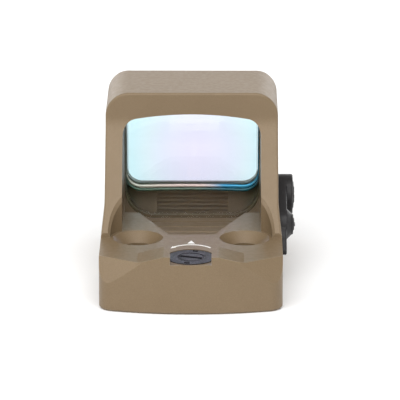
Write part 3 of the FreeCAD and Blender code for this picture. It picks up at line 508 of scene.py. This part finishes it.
def lens_pieces():
    low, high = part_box("lens_rear_element")
    bond_low, bond_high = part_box("lens_bond")
    half = bond_high.x - LENS_FIT
    glass = lens_plate("rear_lens", half, bond_low.z + LENS_FIT, bond_high.z - LENS_FIT, WELL_CORNER, low.y,
                       REAR_PLATE, coated_lens("rear_lens_coating_painted_reflection", low, high))
    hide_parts("lens_rear_element")
    cement_bead(half, bond_low.z + LENS_FIT, bond_high.z - LENS_FIT, low.y + REAR_PLATE)
    front_low, front_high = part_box("lens_front_element")
    front = lens_plate("front_lens", front_high.x, front_low.z, front_high.z, TOP_CORNER,
                       front_low.y + FRONT_GAP, front_high.y - front_low.y - LENS_DISH - FRONT_GAP,
                       plain_glass("front_lens_glass", tone(248, 254, 252), tone(252, 254, 254), 8 * MM))
    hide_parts("lens_front_element")
    pieces = [glass, front] + lens_edge_bands(half, front_low.z, high, low.y + REAR_PLATE)
    for piece in pieces:
        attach(piece, ROOT)


def cement_bead(half, low, top, start):
    """Thin bead of cement behind the rear element's edge."""
    rim = (half, low, top, WELL_CORNER, 0.0)
    inside = (half - BEAD, low + BEAD, top - BEAD, WELL_CORNER - BEAD, 0.0)
    bead = edge_ring("lens_cement_bead", (0.0, 1.0), start + LENS_FIT, BEAD, inside, rim,
                     materials["lens_cement"])
    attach(bead, ROOT)
    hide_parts("lens_bond")


def lens_edge_bands(half, sill, high, start):
    """Three bands of painted reflection round the lens edge: olive, a bright painted highlight, then dark
    green outside.
    """
    clear = (half - SIDE_BAND, sill + SILL_BAND_TOP, high.z - SIDE_BAND, CLEAR_CORNER, SILL_BOW / 2)
    rim = (half - LENS_FIT, sill - SILL_BAND_DROP, high.z - LENS_FIT, BAND_CORNER, SILL_BOW)
    depth = high.y - start - BAND_SETBACK
    rear = start + BAND_GAP
    # Painted reflection of a polished bevel: the bright band is a painted highlight, the olive and green
    # bands darker painted reflection.
    olive = edge_band("band_olive", tone(78, 78, 58), tone(60, 78, 72), 0, 9 * MM, 0.35)
    bright = edge_band("band_bright", tone(240, 218, 196), tone(70, 176, 214), 2.6 * MM, 5 * MM, 0.16)
    green = edge_band("band_green", tone(84, 104, 84), tone(20, 92, 104), 1 * MM, 7 * MM, 0.25)
    return [
        edge_ring("edge_band_inner", (0.80, 1.0), rear, depth, clear, rim, olive),
        edge_ring("edge_band_painted_highlight", (0.38, 0.80), rear, depth, clear, rim, bright),
        edge_ring("edge_band_outer", (0.0, 0.38), rear, depth, clear, rim, green),
    ]


# ---- Keypad ----
def bar_outline(start, start_radius, end, end_radius, steps=24):
    """Common outline of two circles in Y and Z."""
    gap = math.dist(start, end)
    heading = math.atan2(end[1] - start[1], end[0] - start[0])
    lean = math.acos((start_radius - end_radius) / gap)
    back = arc_points(start, start_radius, heading + lean, heading + 2 * math.pi - lean, steps)
    return back + arc_points(end, end_radius, heading - lean, heading + lean, steps)


def circle(centre, radius, steps=56):
    return arc_points(centre, radius, 0, 2 * math.pi * (1 - 1 / steps), steps - 1)


def pressed_bar(shape, x0, x1, rounding, steps=5):
    """Loops of a flat bar from x0 to x1 whose outer edge is rounded over; shape(inset) gives its outline."""
    loops = [[Vector((x0, y, z)) for y, z in shape(0)]]
    for i in range(steps + 1):
        turn = math.pi / 2 * i / steps
        x = x1 - rounding + rounding * math.sin(turn)
        loops.append([Vector((x, y, z)) for y, z in shape(rounding * (1 - math.cos(turn)))])
    return loops


def collar_loops(centre, outer, foot, inner, x0, x_foot, x1):
    """Loops of a ring standing on a spread foot, open in the middle for its key."""
    lip = PAD_ROUND
    profile = [(x0, foot), (x_foot, foot), (x1 - lip, outer)]
    for i in range(1, 6):
        turn = math.pi / 2 * i / 5
        profile.append((x1 - lip + lip * math.sin(turn), outer - lip * (1 - math.cos(turn))))
    profile += [(x1, inner + 0.12 * MM), (x1 - 0.12 * MM, inner), (x0, inner)]
    return [[Vector((x, y, z)) for y, z in circle(centre, radius)] for x, radius in profile]


def fused(name, shells, material, voxel):
    """One moulded skin over several overlapping shells."""
    points = []
    faces = []
    for shell_points, shell_faces in shells:
        start = len(points)
        points += shell_points
        faces += [tuple(start + i for i in face) for face in shell_faces]
    rough = mesh_object(name + "_rough", points, faces, material)
    remesh = rough.modifiers.new("fuse", "REMESH")
    remesh.mode = "VOXEL"
    remesh.voxel_size = voxel
    relax = rough.modifiers.new("relax", "SMOOTH")
    relax.iterations = 4
    relax.factor = 0.5
    graph = bpy.context.evaluated_depsgraph_get()
    mesh = bpy.data.meshes.new_from_object(rough.evaluated_get(graph))
    bpy.data.objects.remove(rough)
    mesh.name = name
    piece = bpy.data.objects.new(name, mesh)
    bpy.context.scene.collection.objects.link(piece)
    mesh.shade_smooth()
    return piece


def key_place(node):
    low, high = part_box(node)
    return ((low.y + high.y) / 2, (low.z + high.z) / 2), (high.y - low.y) / 2, low.x, high.x


def keypad(rubber):
    """Rubber pad with two collars and a tapering tail, and a round key in each collar."""
    low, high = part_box("keypad_boot")
    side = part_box("housing")[1].x
    up, up_radius, _, _ = key_place("key_up")
    down, down_radius, _, _ = key_place("key_down")
    up_collar = high.y - up[0]
    down_collar = down_radius + COLLAR_WALL
    foot = down_collar + FOOT_EXTRA
    tail = (low.y + TAIL_RADIUS, low.z + TAIL_RADIUS)
    plate_top = side + PAD_PLATE_PROUD
    tail_top = side + PAD_TAIL_PROUD
    root = low.x + COLLAR_ROOT

    def plate(inset):
        return bar_outline(up, up_collar - inset, down, foot - inset)

    def taper(inset):
        return bar_outline(down, foot - COLLAR_WALL - inset, tail, TAIL_RADIUS - inset * 0.8)

    shells = [
        loft(pressed_bar(plate, low.x, plate_top, PAD_ROUND)),
        loft(pressed_bar(taper, side - TAIL_ROOT, tail_top, PAD_ROUND)),
        loft(collar_loops(up, up_collar, up_collar, up_radius + KEY_GAP, root, plate_top, high.x), True),
        loft(collar_loops(down, down_collar, foot, down_radius + KEY_GAP, root, plate_top, high.x), True),
    ]
    pad = fused("keypad_pad", shells, rubber, VOXEL)
    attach(pad, ROOT)
    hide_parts("keypad_boot")
    key_cap("key_cap_up", "key_up", "button_up", rubber, True)
    key_cap("key_cap_down", "key_down", "button_down", rubber, False)


def key_cap(name, node, body, rubber, raised_cross):
    """Domed round key with a moulded plus or minus on its face."""
    centre, radius, x0, x1 = key_place(node)
    plate_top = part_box("housing")[1].x + PAD_PLATE_PROUD
    x0 = max(x0, plate_top + KEY_TRAVEL)
    dome = x1 - KEY_MARK
    rim = radius - KEY_FIT

    def disc(inset):
        return circle(centre, rim - inset)

    def bar(half_long, half_wide, upright):
        a, b = (half_wide, half_long) if upright else (half_long, half_wide)
        def outline(inset):
            y, z = centre
            return [(y - a + inset, z - b + inset), (y + a - inset, z - b + inset),
                    (y + a - inset, z + b - inset), (y - a + inset, z + b - inset)]
        return pressed_bar(outline, dome - 0.3 * MM, x1, 0.06 * MM, 2)

    shells = [loft(pressed_bar(disc, x0, dome, 0.35 * MM))]
    shells.append(loft(bar(radius * 0.55, radius * 0.13, False)))
    if raised_cross:
        shells.append(loft(bar(radius * 0.55, radius * 0.13, True)))
    cap = fused(name, shells, rubber, VOXEL * 0.7)
    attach(cap, body)
    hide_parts(node)


# ---- Studio ----
def floor():
    half = FLOOR_HALF
    piece = mesh_object("floor", [(-half, -half, 0), (half, -half, 0), (half, half, 0), (-half, half, 0)],
                        [(0, 1, 2, 3)], floor_material())


def floor_material():
    s = Surface("studio_floor", Roughness=0.9)
    s.shader.inputs["Specular IOR Level"].default_value = 0.1
    s.link(s.mix(s.noise(0.2, 2.0), (0.86, 0.86, 0.86, 1), (0.88, 0.88, 0.88, 1)), "Base Color")
    return s.material


def soft_box(name, place, width, height, power):
    """White area lamp that shines on the middle of the underside."""
    data = bpy.data.lights.new(name, "AREA")
    data.shape = "RECTANGLE"
    data.size = width
    data.size_y = height
    data.energy = power
    lamp = bpy.data.objects.new(name, data)
    lamp.location = place
    lamp.rotation_euler = (-Vector(place)).to_track_quat("-Z", "Y").to_euler()
    bpy.context.scene.collection.objects.link(lamp)


def sky_gradient(world):
    """White surroundings: bright low down beyond the sight, dimmer above it and on the user's side."""
    nodes = world.node_tree.nodes
    links = world.node_tree.links
    place = nodes.new("ShaderNodeTexCoord")
    split = nodes.new("ShaderNodeSeparateXYZ")
    low_down = nodes.new("ShaderNodeMapRange")
    low_down.inputs["From Min"].default_value = 0.5
    low_down.inputs["From Max"].default_value = 0.0
    beyond = nodes.new("ShaderNodeMapRange")
    beyond.inputs["From Min"].default_value = -0.3
    beyond.inputs["From Max"].default_value = 0.7
    both = nodes.new("ShaderNodeMath")
    both.operation = "MULTIPLY"
    strength = nodes.new("ShaderNodeMath")
    strength.operation = "MULTIPLY_ADD"
    strength.inputs[1].default_value = BACKDROP_GAIN
    strength.inputs[2].default_value = SKY_STRENGTH
    links.new(place.outputs["Generated"], split.inputs["Vector"])
    links.new(split.outputs["Z"], low_down.inputs["Value"])
    links.new(split.outputs["Y"], beyond.inputs["Value"])
    links.new(low_down.outputs["Result"], both.inputs[0])
    links.new(beyond.outputs["Result"], both.inputs[1])
    links.new(both.outputs["Value"], strength.inputs[0])
    links.new(strength.outputs["Value"], nodes["Background"].inputs["Strength"])
    nodes["Background"].inputs["Color"].default_value = (1, 1, 1, 1)


def studio():
    scene = bpy.context.scene
    scene.view_settings.view_transform = "Standard"
    world = bpy.data.worlds.new("soft_white")
    world.use_nodes = True
    sky_gradient(world)
    scene.world = world
    high = math.radians(KEY_ELEVATION)
    key_at = (0.0, -KEY_DISTANCE * math.cos(high), KEY_DISTANCE * math.sin(high))
    soft_box("key", key_at, 4.6, 4.2, KEY_POWER)
    soft_box("fill", (0.0, -3.4, 1.0), 2.8, 1.0, FILL_POWER)
    soft_box("side", (-2.2, -1.6, 1.5), 1.2, 1.2, SIDE_POWER)
    floor()


def camera():
    """Long lens behind the sight, a little above it and to its right."""
    elevation = math.radians(CAMERA_ELEVATION)
    azimuth = math.radians(CAMERA_AZIMUTH)
    aim = Vector((0.00145, 0.0, 0.0153))
    back = Vector((math.sin(azimuth) * math.cos(elevation), -math.cos(azimuth) * math.cos(elevation),
                   math.sin(elevation)))
    data = bpy.data.cameras.new("camera")
    data.lens = CAMERA_LENS
    data.sensor_width = 36
    data.clip_start = 0.01
    data.clip_end = 20
    eye = bpy.data.objects.new("camera", data)
    eye.location = aim + back * CAMERA_DISTANCE
    eye.rotation_euler = (-back).to_track_quat("-Z", "Y").to_euler()
    bpy.context.scene.collection.objects.link(eye)
    bpy.context.scene.camera = eye


camera()
studio()
materials = cad_materials()
dress_cad_nodes(materials)
lens_pieces()
keypad(materials["black_rubber"])
